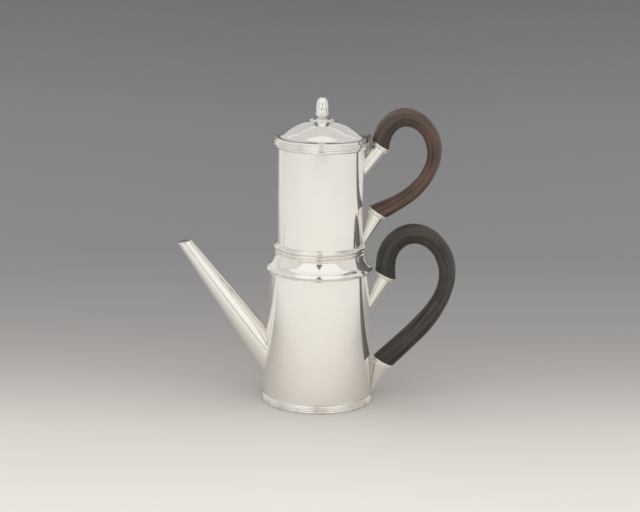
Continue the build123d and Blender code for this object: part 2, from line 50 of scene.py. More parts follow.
# Camera: a long lens about 1.4 m away and a little above the pot, aimed at its middle and held a
# degree off level.
aim = Vector((0.5, 0, 127.4)) * mm
camera_distance = 1362 * mm
camera_rise = math.radians(13.5)
camera_roll = math.radians(1.1)
lens_in_pixels = 1580
picture_width = 640
sensor_width = 36

camera_data = bpy.data.cameras.new("camera")
camera_data.sensor_width = sensor_width
camera_data.lens = lens_in_pixels * sensor_width / picture_width
camera = bpy.data.objects.new("camera", camera_data)
scene.collection.objects.link(camera)
back = Vector((0, -math.cos(camera_rise), math.sin(camera_rise)))
level_up = Vector((0, math.sin(camera_rise), math.cos(camera_rise)))
right = Vector((1, 0, 0)) * math.cos(camera_roll) + level_up * math.sin(camera_roll)
turn = Matrix((right, back.cross(right), back)).transposed()
camera.matrix_world = Matrix.Translation(aim + back * camera_distance) @ turn.to_4x4()
scene.camera = camera

# Studio: a pale room, with large soft panels in a left and a right half that brighten its front,
# roof and sides. Between the halves runs a narrow seam. The pot's silver mirrors all of this.
seam = 12 * mm
tent_side = 1.5
tent_front = -1.62
front_panel_foot = 0.08
front_panel_top = 0.62
roof_front = (-0.62, 1.62)
roof_middle = (0.16, 1.50)
roof_back = (0.72, 1.30)
front_brightness = 0.36
roof_brightness = 0.28
side_brightness = 0.10


def soft_panel(name, corner, along, up, brightness):
    """A panel that spans two directions from a corner; it shines away from along x up."""
    along, up = Vector(along), Vector(up)
    light = bpy.data.lights.new(name, "AREA")
    light.shape = "RECTANGLE"
    light.size = along.length
    light.size_y = up.length
    light.energy = brightness * math.pi * along.length * up.length
    panel = bpy.data.objects.new(name, light)
    facing = Matrix((along.normalized(), up.normalized(), along.cross(up).normalized())).transposed()
    panel.matrix_world = Matrix.Translation(Vector(corner) + (along + up) / 2) @ facing.to_4x4()
    panel.visible_camera = False
    scene.collection.objects.link(panel)
    return panel


half_front = (tent_side - seam / 2, 0, 0)
stand = (0, 0, front_panel_top - front_panel_foot)
lean = (0, roof_front[0] - tent_front, roof_front[1] - front_panel_top)
roof = (0, roof_middle[0] - roof_front[0], roof_middle[1] - roof_front[1])
for word, start in (("left", -tent_side), ("right", seam / 2)):
    soft_panel(f"panel_low_{word}", (start, tent_front, front_panel_foot), half_front, stand, front_brightness)
    soft_panel(f"panel_front_{word}", (start, tent_front, front_panel_top), half_front, lean, front_brightness)
    soft_panel(f"panel_roof_{word}", (start, *roof_front), half_front, roof, roof_brightness)

# Rows of each side: the bottom, the top, and how near to the front it comes under the leaning panels.
side_rows = [(0.02, front_panel_top, tent_front), (0.62, 0.87, -1.37), (0.87, 1.12, -1.12), (1.12, 1.37, -0.87)]
for row, (low, high, nearest) in enumerate(side_rows):
    run, rise = roof_back[0] - nearest, (0, 0, high - low)
    soft_panel(f"panel_side_left_{row}", (-tent_side, roof_back[0], low), (0, -run, 0), rise, side_brightness)
    soft_panel(f"panel_side_right_{row}", (tent_side, nearest, low), (0, run, 0), rise, side_brightness)

# Two more panels lean in from behind, above the picture, and leave a dark gap between them.
behind_low = (0.985, 0.34)
behind_gap = 0.165
behind_rise = (0, roof_back[0] - behind_low[0], roof_back[1] - behind_low[1])
behind_width = 0.55
behind_brightness = 0.50
for word, end in (("left", -behind_gap), ("right", behind_gap + behind_width)):
    soft_panel(f"panel_behind_{word}", (end, *behind_low), (-behind_width, 0, 0), behind_rise, behind_brightness)

# One high panel evens out the light on the floor and is not mirrored.
fill_brightness = 0.42
fill = soft_panel("panel_fill", (-1.0, -0.9, 1.25), (2.0, 0, 0), (0, 1.6, 0), fill_brightness)
fill.visible_glossy = False

# Two dark cards in front, seen only in the silver as painted dark reflections: a tall notch where the camera looks in,
# and a strip along the floor's edge, under the front panels.
dark_reflection_material = bpy.data.materials.new("painted_dark_reflection")
dark_reflection_material.use_nodes = True
dark_reflection_material.node_tree.nodes["Principled BSDF"].inputs["Base Color"].default_value = (0.03, 0.03, 0.03, 1)
dark_reflection_material.node_tree.nodes["Principled BSDF"].inputs["Specular IOR Level"].default_value = 0.0
upright = Matrix.Rotation(math.radians(90), 3, "X")


def dark_card(name, mesh, half_size, place):
    """A flat dark shape stood upright in front of the pot, which only shows where it is mirrored, as a painted dark
    reflection.
    """
    bmesh.ops.scale(mesh, vec=(*half_size, 1), verts=mesh.verts)
    bmesh.ops.rotate(mesh, cent=(0, 0, 0), matrix=upright, verts=mesh.verts)
    bmesh.ops.translate(mesh, vec=place, verts=mesh.verts)
    data = bpy.data.meshes.new(name)
    mesh.to_mesh(data)
    mesh.free()
    data.materials.append(dark_reflection_material)
    card = bpy.data.objects.new(name, data)
    card.visible_camera = False
    card.visible_diffuse = False
    card.visible_shadow = False
    scene.collection.objects.link(card)


notch = bmesh.new()
bmesh.ops.create_circle(notch, cap_ends=True, segments=3, radius=1)
dark_card("notch", notch, (0.140, 0.66), (0, -0.95, 0.57))
strip = bmesh.new()
bmesh.ops.create_grid(strip, x_segments=1, y_segments=1, size=1)
dark_card("floor_edge", strip, (2.1, 0.05), (0, -1.5, 0.03))

# The room behind all this is pale in reflections, and grey where the camera sees it.
world = bpy.data.worlds.new("studio")
scene.world = world
world.use_nodes = True
nodes, links = world.node_tree.nodes, world.node_tree.links
room = nodes["Background"]
room.inputs["Color"].default_value = (0.62, 0.62, 0.615, 1)
seen = nodes.new("ShaderNodeBackground")
seen.inputs["Color"].default_value = (0.24, 0.24, 0.25, 1)
choose = nodes.new("ShaderNodeMixShader")
rays = nodes.new("ShaderNodeLightPath")
links.new(rays.outputs["Is Camera Ray"], choose.inputs["Fac"])
links.new(room.outputs["Background"], choose.inputs[1])
links.new(seen.outputs["Background"], choose.inputs[2])
links.new(choose.outputs["Shader"], nodes["World Output"].inputs["Surface"])

# Floor: one long sweep of paper, which lies under the pot and curves up behind it. It is pale in front
# and grey behind, a painted shade where the light falls off, and pale again at the sides, outside the picture.
sweep_half_width = 1.7
sweep_front = -1.45
sweep_bend_start = 0.55
sweep_bend_radius = 0.45
sweep_top = 1.6
# Tones of the paper along the sweep (y + z): painted shade that darkens towards the back where the light falls off.
painted_falloff_tones = [
    (-1.30, (0.93, 0.915, 0.88)),
    (-0.60, (0.93, 0.915, 0.88)),
    (-0.24, (0.86, 0.835, 0.79)),
    (-0.10, (0.74, 0.715, 0.675)),
    (-0.01, (0.60, 0.575, 0.545)),
    (0.10, (0.45, 0.43, 0.42)),
    (0.22, (0.38, 0.365, 0.36)),
    (0.40, (0.34, 0.335, 0.335)),
    (0.75, (0.29, 0.29, 0.295)),
    (1.12, (0.25, 0.25, 0.26)),
    (1.55, (0.10, 0.10, 0.10)),
    (2.60, (0.04, 0.04, 0.04)),
]
paper_side = 0.29
paper_side_blend = 0.22
paper_side_tone = (0.92, 0.905, 0.88)
mesh = bmesh.new()
first = mesh.verts.new((-sweep_half_width, sweep_front, 0))
bend = mesh.verts.new((-sweep_half_width, sweep_bend_start, 0))
mesh.edges.new((first, bend))
bmesh.ops.spin(
    mesh, geom=[bend], cent=(-sweep_half_width, sweep_bend_start, sweep_bend_radius), axis=(1, 0, 0),
    angle=math.pi / 2, steps=24,
)
mesh.verts.ensure_lookup_table()
top = max(mesh.verts, key=lambda v: v.co.y)
wall_top = mesh.verts.new((top.co.x, top.co.y, sweep_top))
mesh.edges.new((top, wall_top))
paper = bmesh.ops.extrude_edge_only(mesh, edges=mesh.edges[:])["geom"]
bmesh.ops.translate(
    mesh, verts=[v for v in paper if isinstance(v, bmesh.types.BMVert)], vec=(2 * sweep_half_width, 0, 0)
)
bmesh.ops.recalc_face_normals(mesh, faces=mesh.faces)
for face in mesh.faces:
    face.smooth = True
data = bpy.data.meshes.new("sweep")
mesh.to_mesh(data)
mesh.free()
sweep = bpy.data.objects.new("sweep", data)
scene.collection.objects.link(sweep)


def remap(tree, value, low, high, start, end):
    """A value stretched from one range to another, held at the ends."""
    node = tree.nodes.new("ShaderNodeMapRange")
    tree.links.new(value, node.inputs["Value"])
    for socket, number in zip(("From Min", "From Max", "To Min", "To Max"), (low, high, start, end)):
        node.inputs[socket].default_value = number
    return node.outputs["Result"]


def combine(tree, operation, *values):
    """Values added, multiplied and so on."""
    node = tree.nodes.new("ShaderNodeMath")
    node.operation = operation
    for socket, value in zip(node.inputs, values):
        if isinstance(value, (int, float)):
            socket.default_value = value
        else:
            tree.links.new(value, socket)
    return node.outputs["Value"]


def blend_colours(tree, share, first, second):
    """Two colours mixed by a value."""
    node = tree.nodes.new("ShaderNodeMix")
    node.data_type = "RGBA"
    tree.links.new(share, node.inputs["Factor"])
    for socket, colour in zip((node.inputs[6], node.inputs[7]), (first, second)):
        if isinstance(colour, tuple):
            socket.default_value = (*colour, 1)
        else:
            tree.links.new(colour, socket)
    return node.outputs[2]


paper = bpy.data.materials.new("paper_with_painted_falloff")
paper.use_nodes = True
tree = paper.node_tree
place = tree.nodes.new("ShaderNodeSeparateXYZ")
tree.links.new(tree.nodes.new("ShaderNodeTexCoord").outputs["Object"], place.inputs["Vector"])
along = combine(tree, "ADD", place.outputs["Y"], place.outputs["Z"])
# A ramp of the paper's tones along the sweep, which paints the shade of the falling light.
painted_falloff_ramp = tree.nodes.new("ShaderNodeValToRGB")
painted_falloff_ramp.color_ramp.interpolation = "B_SPLINE"
near_end, far_end = painted_falloff_tones[0][0], painted_falloff_tones[-1][0]
while len(painted_falloff_ramp.color_ramp.elements) < len(painted_falloff_tones):
    painted_falloff_ramp.color_ramp.elements.new(0.5)
for element, (where, colour) in zip(painted_falloff_ramp.color_ramp.elements, painted_falloff_tones):
    element.position = (where - near_end) / (far_end - near_end)
    element.color = (*colour, 1)
tree.links.new(remap(tree, along, near_end, far_end, 0.0, 1.0), painted_falloff_ramp.inputs["Fac"])
edge = combine(tree, "MULTIPLY_ADD", along, picture_width / 2 / lens_in_pixels, paper_side)
beyond = combine(tree, "SUBTRACT", combine(tree, "ABSOLUTE", place.outputs["X"]), edge)
aside = remap(tree, beyond, 0.0, paper_side_blend, 0.0, 1.0)
shader = tree.nodes["Principled BSDF"]
shader.inputs["Roughness"].default_value = 0.9
shader.inputs["Specular IOR Level"].default_value = 0.0
tree.links.new(blend_colours(tree, aside, painted_falloff_ramp.outputs["Color"], paper_side_tone), shader.inputs["Base Color"])
data.materials.append(paper)

# Foot: a ring of thick silver soldered round the bottom edge, with three fine reeds that are bound
# by small crossed ribbons, and a hollow fillet up to the wall. The silver finish starts here.
silver_bright = (0.955, 0.925, 0.875)
silver_soft = (0.925, 0.895, 0.845)
tarnish_brown = (0.40, 0.34, 0.27)
silver_under_film = 0.88
dent_depth = 0.16 * mm
scratch_depth = 0.004 * mm


def noise(tree, scale, detail, vector):
    """A noise texture in a material, at a scale in features per metre."""
    texture = tree.nodes.new("ShaderNodeTexNoise")
    texture.inputs["Scale"].default_value = scale
    texture.inputs["Detail"].default_value = detail
    tree.links.new(vector, texture.inputs["Vector"])
    return texture.outputs["Fac"]


def silver_wear():
    """Old polished silver: faint dents, fine scratches, and tarnish left in the hollows."""
    tree = bpy.data.node_groups.new("silver_wear", "ShaderNodeTree")
    ends = tree.interface
    for name in ("Scratches", "Dents", "Tarnish"):
        ends.new_socket(name, in_out="INPUT", socket_type="NodeSocketFloat").default_value = 0.5
    ends.new_socket("Color", in_out="OUTPUT", socket_type="NodeSocketColor")
    ends.new_socket("Roughness", in_out="OUTPUT", socket_type="NodeSocketFloat")
    ends.new_socket("Normal", in_out="OUTPUT", socket_type="NodeSocketVector")
    given = tree.nodes.new("NodeGroupInput").outputs
    where = tree.nodes.new("ShaderNodeTexCoord").outputs["Object"]
    hollow = tree.nodes.new("ShaderNodeAttribute")
    hollow.attribute_name = "hollow"
    clouds = noise(tree, 38, 3, where)
    specks = noise(tree, 900, 2, where)
    turned_marks = tree.nodes.new("ShaderNodeMapping")
    turned_marks.inputs["Scale"].default_value = (0.12, 0.12, 6.0)
    tree.links.new(where, turned_marks.inputs["Vector"])
    marks = noise(tree, 320, 4, turned_marks.outputs["Vector"])
    sunk = remap(tree, hollow.outputs["Fac"], 0.08, 0.55, 0.0, 1.0)
    patchy = remap(tree, clouds, 0.42, 0.75, 0.0, 0.35)
    stain = combine(tree, "MULTIPLY", combine(tree, "MAXIMUM", sunk, patchy), given["Tarnish"])
    colour = blend_colours(tree, stain, blend_colours(tree, clouds, silver_bright, silver_soft), tarnish_brown)
    fine = combine(tree, "MULTIPLY", remap(tree, marks, 0.45, 0.72, 0.0, 0.10), given["Scratches"])
    base = remap(tree, specks, 0.3, 0.7, 0.085, 0.125)
    rough = combine(tree, "ADD", combine(tree, "ADD", base, fine), combine(tree, "MULTIPLY", stain, 0.25))
    dent = tree.nodes.new("ShaderNodeBump")
    dent.inputs["Distance"].default_value = dent_depth
    tree.links.new(given["Dents"], dent.inputs["Strength"])
    tree.links.new(noise(tree, 26, 1, where), dent.inputs["Height"])
    scratch = tree.nodes.new("ShaderNodeBump")
    scratch.inputs["Distance"].default_value = scratch_depth
    tree.links.new(given["Scratches"], scratch.inputs["Strength"])
    tree.links.new(marks, scratch.inputs["Height"])
    tree.links.new(dent.outputs["Normal"], scratch.inputs["Normal"])
    out = tree.nodes.new("NodeGroupOutput").inputs
    tree.links.new(colour, out["Color"])
    tree.links.new(rough, out["Roughness"])
    tree.links.new(scratch.outputs["Normal"], out["Normal"])
    return tree


wear = silver_wear()


def silver(name, scratches, dents, tarnish):
    """A silver finish under a thin old film, with its own amounts of scratches, dents and tarnish."""
    material = bpy.data.materials.new(name)
    material.use_nodes = True
    nodes, links = material.node_tree.nodes, material.node_tree.links
    shader = nodes["Principled BSDF"]
    shader.inputs["Metallic"].default_value = silver_under_film
    group = nodes.new("ShaderNodeGroup")
    group.node_tree = wear
    group.inputs["Scratches"].default_value = scratches
    group.inputs["Dents"].default_value = dents
    group.inputs["Tarnish"].default_value = tarnish
    links.new(group.outputs["Color"], shader.inputs["Base Color"])
    links.new(group.outputs["Roughness"], shader.inputs["Roughness"])
    links.new(group.outputs["Normal"], shader.inputs["Normal"])
    return material


polished_silver = silver("polished_silver", 0.35, 0.5, 0.10)
moulded_silver = silver("moulded_silver", 0.5, 0.2, 1.15)
inner_silver = silver("inner_silver", 1.0, 0.8, 0.9)


def span(node):
    """Radius, bottom and top of a round node of the frame, in millimetres."""
    low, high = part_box(node)
    return high.y / mm, low.z / mm, high.z / mm


def arc(start, end, sag, steps=10):
    """Points of a shallow arc, after its start, that stands off the chord to the left by the sag."""
    run, rise = end[0] - start[0], end[1] - start[1]
    chord = math.hypot(run, rise)
    half = 2 * math.atan2(2 * sag, chord)
    points = []
    for step in range(1, steps):
        turn = half * (2 * step / steps - 1)
        share = (math.sin(turn) / math.sin(half) + 1) / 2
        lift = (math.cos(turn) - math.cos(half)) / math.sin(half) * chord / 2
        points.append((start[0] + run * share - rise / chord * lift, start[1] + rise * share + run / chord * lift))
    return [*points, end]


def ease(mesh, corners, offset, segments, affect="EDGES"):
    """Round off edges or corners of a mesh by an offset in millimetres."""
    bmesh.ops.bevel(
        mesh, geom=corners, offset=offset * mm, offset_type="OFFSET", segments=segments, profile=0.5, affect=affect,
        clamp_overlap=True, material=-1,
    )


def finish(name, mesh, material, body, slot, *nodes, crease=math.radians(38)):
    """Make a piece of a mesh: shade it, note its hollows, and let it ride in place of its nodes."""
    bmesh.ops.remove_doubles(mesh, verts=mesh.verts, dist=1e-6)
    bmesh.ops.recalc_face_normals(mesh, faces=mesh.faces)
    mesh.normal_update()
    layer = mesh.verts.layers.float.new("hollow")
    for vert in mesh.verts:
        leans = [(edge.other_vert(vert).co - vert.co).normalized().dot(vert.normal) for edge in vert.link_edges]
        vert[layer] = sum(leans) / max(len(leans), 1)
    for face in mesh.faces:
        face.smooth = True
    for edge in mesh.edges:
        edge.smooth = edge.calc_face_angle(0) < crease
    data = bpy.data.meshes.new(name)
    mesh.to_mesh(data)
    mesh.free()
    data.materials.append(material)
    piece = bpy.data.objects.new(name, data)
    scene.collection.objects.link(piece)
    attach(piece, body)
    if nodes:
        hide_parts(*nodes)


def spun(outline, soften=0.15, steps=192):
    """A mesh turned from an outline of (radius, height) in millimetres, its corners softened."""
    mesh = bmesh.new()
    verts = [mesh.verts.new((radius * mm, 0, height * mm)) for radius, height in outline]
    for first, second in zip(verts, verts[1:]):
        mesh.edges.new((first, second))
    if outline[0][0] > 0 or outline[-1][0] > 0:
        mesh.edges.new((verts[-1], verts[0]))
    corners = []
    for vert in verts:
        if len(vert.link_edges) == 2 and vert.co.x > 0:
            arms = [edge.other_vert(vert).co - vert.co for edge in vert.link_edges]
            if arms[0].angle(arms[1]) < math.radians(155):
                corners.append(vert)
    if soften > 0 and corners:
        ease(mesh, corners, soften, 2, "VERTICES")
    for edge in mesh.edges[:]:
        reach = edge.calc_length()
        if reach > 3 * mm:
            for end in edge.verts[:]:
                bmesh.utils.edge_split(edge, end, 0.4 * mm / reach)
    bmesh.ops.spin(
        mesh, geom=mesh.verts[:] + mesh.edges[:], cent=(0, 0, 0), axis=(0, 0, 1), angle=2 * math.pi,
        steps=steps, use_merge=True,
    )
    return mesh


def reeds(radius, bottom, top, count, depth):
    """Points of a band of fine half-round reeds, from the bottom up."""
    height = (top - bottom) / count
    points = [(radius - depth, bottom)]
    for row in range(count):
        points += arc(points[-1], (radius - depth, bottom + (row + 1) * height), -depth, 6)
    return points


def add_ties(mesh, radius, bottom, top, count, width, thickness):
    """Pairs of crossed ribbons at even places round a reeded band."""
    ribbon = bmesh.new()
    bmesh.ops.create_cube(ribbon, size=1)
    bmesh.ops.scale(ribbon, verts=ribbon.verts, vec=(thickness * mm, width * mm, 1.15 * (top - bottom) * mm))
    ease(ribbon, ribbon.edges[:], 0.13, 1)
    pattern = bpy.data.meshes.new("ribbon")
    ribbon.to_mesh(pattern)
    ribbon.free()
    lift = Matrix.Translation(((radius - thickness / 2 - 0.02) * mm, 0, (bottom + top) / 2 * mm))
    for number in range(count):
        round_pot = Matrix.Rotation(2 * math.pi * (number + 0.5) / count, 4, "Z")
        for slant in (-30, 30):
            placed = pattern.copy()
            placed.transform(round_pot @ lift @ Matrix.Rotation(math.radians(slant), 4, "X"))
            mesh.from_mesh(placed)
            bpy.data.meshes.remove(placed)
    bpy.data.meshes.remove(pattern)


foot_radius, foot_bottom, foot_top = span("foot_ring")
body_wall_step = 1.4
foot_depth = 4.5
foot_band = (0.7, 5.1)
foot_ledge = 2.0
outline = [(foot_radius - foot_depth, foot_bottom), (foot_radius - 0.7, foot_bottom)]
outline += reeds(foot_radius - 0.22, *foot_band, count=3, depth=0.42)
outline += [(foot_radius - 0.75, 5.2), (foot_radius - 0.75, 5.5), (foot_radius - 0.3, 5.7)]
outline += arc(outline[-1], (foot_radius - 1.25, 6.9), 0.25)
outline += [(foot_radius - body_wall_step, foot_top), (foot_radius - 1.8, foot_top)]
outline += [(foot_radius - 1.8, foot_ledge), (foot_radius - foot_depth, foot_ledge)]
mesh = spun(outline, soften=0.1)
add_ties(mesh, foot_radius, *foot_band, count=18, width=0.5, thickness=0.3)
finish("foot", mesh, moulded_silver, "pot", "silver", "foot_ring")


def keep(node, material):
    """Give a node of the frame, whose shape is right as it is, its finish."""
    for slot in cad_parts[node].material_slots:
        slot.material = material


keep("pot_bottom", inner_silver)

# Pot: the lower vessel, of silver sheet rolled to a cone and seamed, with its top edge turned in to
# a low shoulder. Foot, collar, spout and sockets are soldered to it.
body_foot_radius = 47.56
body_foot = 2.6
body_top_radius = 43.3
body_top = 114.4
shoulder_radius = 43.0
wall = 1.2
_, _, shoulder_top = span("pot_body")
outline = [(body_foot_radius, body_foot), (body_top_radius, body_top)]
outline += arc(outline[-1], (shoulder_radius, shoulder_top), -0.1, 6) + [(shoulder_radius - wall, shoulder_top)]
outline += [(body_top_radius - wall, body_top - wall / 2), (body_foot_radius - wall, body_foot)]
finish("pot_wall", spun(outline, steps=256), polished_silver, "pot", "silver", "pot_body")


def pot_wall_radius(height):
    """Outer radius of the tapered wall at a height, in millimetres."""
    share = (height - body_foot) / (body_top - body_foot)
    return body_foot_radius + (body_top_radius - body_foot_radius) * share


# Collar: a ring of silver raised over the shoulder and soldered on, undercut to a sharp edge and
# drawn in by a hollow flare to the neck. The half-round ring of the mouth is soldered on top.
arris_radius, collar_bottom, neck_height = span("collar")
arris_height = 118.2
lip_height = 120.6
lip_radius = arris_radius - 1.2
neck_radius = 39.0
flare_sag = 1.6
outline = [(shoulder_radius, collar_bottom), (arris_radius, arris_height), (lip_radius, lip_height)]
outline += arc(outline[-1], (neck_radius, neck_height), flare_sag, 20) + [(neck_radius - wall, neck_height)]
outline += arc(outline[-1], (lip_radius - 1.6, lip_height), -flare_sag, 12)
outline += [(arris_radius - 1.9, arris_height + 0.4), (shoulder_radius - wall, collar_bottom)]
finish("collar_flare", spun(outline, steps=256), polished_silver, "pot", "silver", "collar")

mouth_radius, mouth_bottom, mouth_top = span("mouth_ring")
outline = [(mouth_radius - 2.7, mouth_top), (mouth_radius - 2.7, mouth_bottom), (mouth_radius - 0.1, mouth_bottom)]
outline += [(mouth_radius - 0.1, mouth_bottom + 0.5), (mouth_radius - 0.9, mouth_bottom + 0.9)]
outline += arc(outline[-1], (mouth_radius - 0.9, mouth_top), -0.9)
finish("mouth_moulding", spun(outline, soften=0.1), moulded_silver, "pot", "silver", "mouth_ring")

# Spout: a long straight cone of rolled silver sheet, seamed underneath, cut nearly level at the
# mouth, fitted to the pot's wall and soldered there.
spout_slope = math.radians(53)
spout_spread = math.tan(math.radians(3.5))
spout_tip = Vector((-116.5, 0, 138.0)) * mm
spout_tip_radius = 5.6
spout_sheet = 1.0
mouth_tilt = math.radians(12)
spout_root_cut = 41.5
spout_mouth_low = 130 * mm


def stood(place, axis):
    """The matrix that stands what was made along +Z on a place, along an axis."""
    return Matrix.Translation(place) @ axis.to_track_quat("Z", "Y").to_matrix().to_4x4()


def open_cone(mesh, place, axis, radius, spread, before, length, cuts):
    """An open cone that has its radius at a place, starts before it, and widens along its axis."""
    narrow = (radius - before * spread) * mm
    ring = bmesh.ops.create_circle(mesh, segments=128, radius=narrow)["verts"]
    made = list(ring)
    edges = list({edge for vert in ring for edge in vert.link_edges})
    for step in range(cuts):
        part = bmesh.ops.extrude_edge_only(mesh, edges=edges)["geom"]
        ring = [piece for piece in part if isinstance(piece, bmesh.types.BMVert)]
        edges = [piece for piece in part if isinstance(piece, bmesh.types.BMEdge)]
        wide = narrow + length / cuts * spread * mm
        bmesh.ops.scale(mesh, verts=ring, vec=(wide / narrow, wide / narrow, 1))
        bmesh.ops.translate(mesh, verts=ring, vec=(0, 0, length / cuts * mm))
        made += ring
        narrow = wide
    bmesh.ops.transform(mesh, matrix=stood(place - axis * (before * mm), axis), verts=made)


def cut(mesh, place, outward):
    """Cut everything in a mesh off on one side of a plane."""
    bmesh.ops.bisect_plane(
        mesh, geom=mesh.verts[:] + mesh.edges[:] + mesh.faces[:], dist=1e-7, plane_co=place, plane_no=outward,
        clear_outer=True,
    )


def sink(mesh, wall_radius, depth=0.5):
    """Let what would go through a round wall end inside the wall's thickness."""
    for vert in mesh.verts:
        reach = math.hypot(vert.co.x, vert.co.y)
        floor = (wall_radius(vert.co.z / mm) - depth) * mm
        if reach < floor:
            vert.co.x *= floor / reach
            vert.co.y *= floor / reach


def rim_edges(mesh, place, outward, reach=0.0004):
    """The open edges of a mesh that lie on a plane."""
    return [
        edge for edge in mesh.edges
        if edge.is_boundary and all(abs((vert.co - place).dot(outward)) < reach for vert in edge.verts)
    ]


axis = Vector((math.cos(spout_slope), 0, -math.sin(spout_slope)))
mouth_up = Vector((-math.sin(mouth_tilt), 0, math.cos(mouth_tilt)))
root = Vector((-spout_root_cut * mm, 0, 0))
inward = Vector((1, 0, 0))
mesh = bmesh.new()
for shrink in (0, spout_sheet):
    open_cone(mesh, spout_tip, axis, spout_tip_radius - shrink, spout_spread, before=8, length=150, cuts=60)
for place, outward in ((spout_tip, mouth_up), (root, inward)):
    cut(mesh, place, outward)
for place, outward in ((spout_tip, mouth_up), (root, inward)):
    bmesh.ops.bridge_loops(mesh, edges=rim_edges(mesh, place, outward))
sharp = [edge for edge in mesh.edges if edge.calc_face_angle(0) > math.radians(40)]
ease(mesh, [edge for edge in sharp if edge.verts[0].co.z > spout_mouth_low], 0.3, 3)
sink(mesh, pot_wall_radius)
finish("spout_cone", mesh, polished_silver, "pot", "silver", "spout")

# Drum: the upper vessel, a straight tube of silver sheet. Soldered to it are a half-round ring at
# its foot, a sleeve with a pierced plate that drops into the pot's mouth, and a reeded rim.
drum_radius, drum_bottom, drum_top = span("drum_wall")


def tube(radius, bottom, top, sheet=wall):
    """Outline of a plain tube of sheet."""
    return [(radius, bottom), (radius, top), (radius - sheet, top), (radius - sheet, bottom)]


outline = tube(drum_radius, drum_bottom, drum_top)
finish("drum_tube", spun(outline, steps=256), polished_silver, "drum", "silver", "drum_wall")

flange_radius, flange_bottom, flange_top = span("drum_flange")
flange_inner = 35.1
outline = [(flange_inner, flange_bottom), (flange_radius - 0.9, flange_bottom)]
outline += arc(outline[-1], (flange_radius - 0.9, flange_top - 0.8), -0.9)
outline += [(flange_radius - 1.6, flange_top - 0.4), (flange_radius - 1.6, flange_top)]
outline += [(drum_radius - 0.3, flange_top), (drum_radius - 0.3, flange_bottom + wall)]
outline += [(flange_inner, flange_bottom + wall)]
finish("drum_foot_moulding", spun(outline, soften=0.1), moulded_silver, "drum", "silver", "drum_flange")

finish("drum_plug_sleeve", spun(tube(*span("drum_plug"))), inner_silver, "drum", "silver", "drum_plug")
keep("filter_plate", inner_silver)

rim_radius, rim_bottom, rim_top = span("drum_rim")
rim_groove_height = rim_bottom + 3.0
outline = [(drum_radius + 0.5, rim_bottom)]
outline += arc(outline[-1], (rim_radius - 1.8, rim_groove_height), -0.9)[:-1]
outline += reeds(rim_radius - 0.2, rim_groove_height, rim_top, count=2, depth=0.5)
outline += [(drum_radius - wall, rim_top), (drum_radius - wall, rim_top - wall), (drum_radius - 0.3, rim_top - wall)]
outline += [(drum_radius - 0.3, rim_bottom)]
mesh = spun(outline, soften=0.1)
add_ties(mesh, rim_radius, rim_groove_height, rim_top, count=14, width=0.6, thickness=0.3)
finish("drum_rim_moulding", mesh, moulded_silver, "drum", "silver", "drum_rim")

# Spreader: a loose pierced plate of silver, which lies on the ground coffee and is lifted out by a
# turned ball on a short stem.
keep("spreader_plate", inner_silver)
knob_radius, knob_bottom, knob_top = span("spreader_knob")
stem = 1.6
ball = knob_top - knob_radius
start = math.asin(stem / knob_radius)
outline = [(0, knob_bottom), (2 * stem, knob_bottom)]
outline += arc(outline[-1], (stem, knob_bottom + 2 * stem), 0.5, 6)
outline += [
    (knob_radius * math.sin(turn), ball - knob_radius * math.cos(turn))
    for turn in (start + (math.pi - start) * step / 20 for step in range(20))
]
outline += [(0, knob_top)]
finish("spreader_ball", spun(outline, soften=0, steps=64), inner_silver, "spreader", "silver", "spreader_knob")

# Lid: raised from one sheet of silver, with an upright edge, a hollowed brim and a low dome. A
# sleeve is soldered inside, which drops into the drum.
lid_radius, lid_bottom, dome_top = span("lid_shell")
lid_edge_top = lid_bottom + 2.2
dome_foot_radius = 33.0
dome_foot = lid_edge_top + 1.2
dome_flat_radius = 10.0
dome_sag = 1.5
lid_sheet = 1.3
lid_inner_radius = 34.5
outline = [(0, dome_top - lid_sheet), (dome_flat_radius, dome_top - lid_sheet)]
outline += arc(outline[-1], (dome_foot_radius - 0.4, dome_foot - wall), dome_sag, 16)
outline += [(lid_inner_radius, lid_bottom), (lid_radius, lid_bottom)]
outline += [(lid_radius, lid_edge_top - 0.5), (lid_radius - 0.5, lid_edge_top)]
outline += arc(outline[-1], (dome_foot_radius, dome_foot), 0.5)
outline += arc(outline[-1], (dome_flat_radius, dome_top), -dome_sag, 24) + [(0, dome_top)]
finish("lid_dome", spun(outline, steps=256), polished_silver, "lid", "silver", "lid_shell")
finish("lid_sleeve", spun(tube(*span("lid_bezel"), sheet=1)), inner_silver, "lid", "silver", "lid_bezel")

# Finial: an acorn in its cup on a lobed calyx, all cast in silver and drawn down on the lid by a
# stud and a square nut.
calyx_radius, calyx_bottom, calyx_top = span("finial_rosette")
calyx_neck = 3.4
calyx_lobes = 10
lobe_depth = 0.11
lobe_drop = 0.35
outline = [(0, calyx_bottom), (calyx_radius - 0.5, calyx_bottom), (calyx_radius, calyx_bottom + 0.9)]
outline += arc(outline[-1], (calyx_neck, calyx_top), -0.35, 12) + [(0, calyx_top)]
mesh = spun(outline, soften=0.2, steps=160)
for vert in mesh.verts:
    reach = math.hypot(vert.co.x, vert.co.y)
    spread = max(0.0, (reach / mm - calyx_neck) / (calyx_radius - calyx_neck))
    lobe = abs(math.cos(calyx_lobes / 2 * math.atan2(vert.co.y, vert.co.x)))
    if reach > 0 and spread > 0:
        pull = 1 - lobe_depth * spread * (1 - lobe)
        vert.co.x *= pull
        vert.co.y *= pull
        if vert.co.z > (calyx_bottom + 0.3) * mm:
            vert.co.z -= lobe_drop * mm * spread * (1 - lobe)
finish("acorn_calyx", mesh, moulded_silver, "lid", "silver", "finial_rosette", crease=math.radians(60))

cup_radius, cup_bottom, cup_top = span("finial_cup")
outline = [(0, cup_bottom), (calyx_neck, cup_bottom), (calyx_neck, cup_bottom + 0.7)]
outline += arc(outline[-1], (cup_radius, cup_top - 0.5), -0.8, 12) + [(cup_radius - 0.5, cup_top), (0, cup_top)]
finish("acorn_cup", spun(outline, soften=0.12, steps=96), moulded_silver, "lid", "silver", "finial_cup")

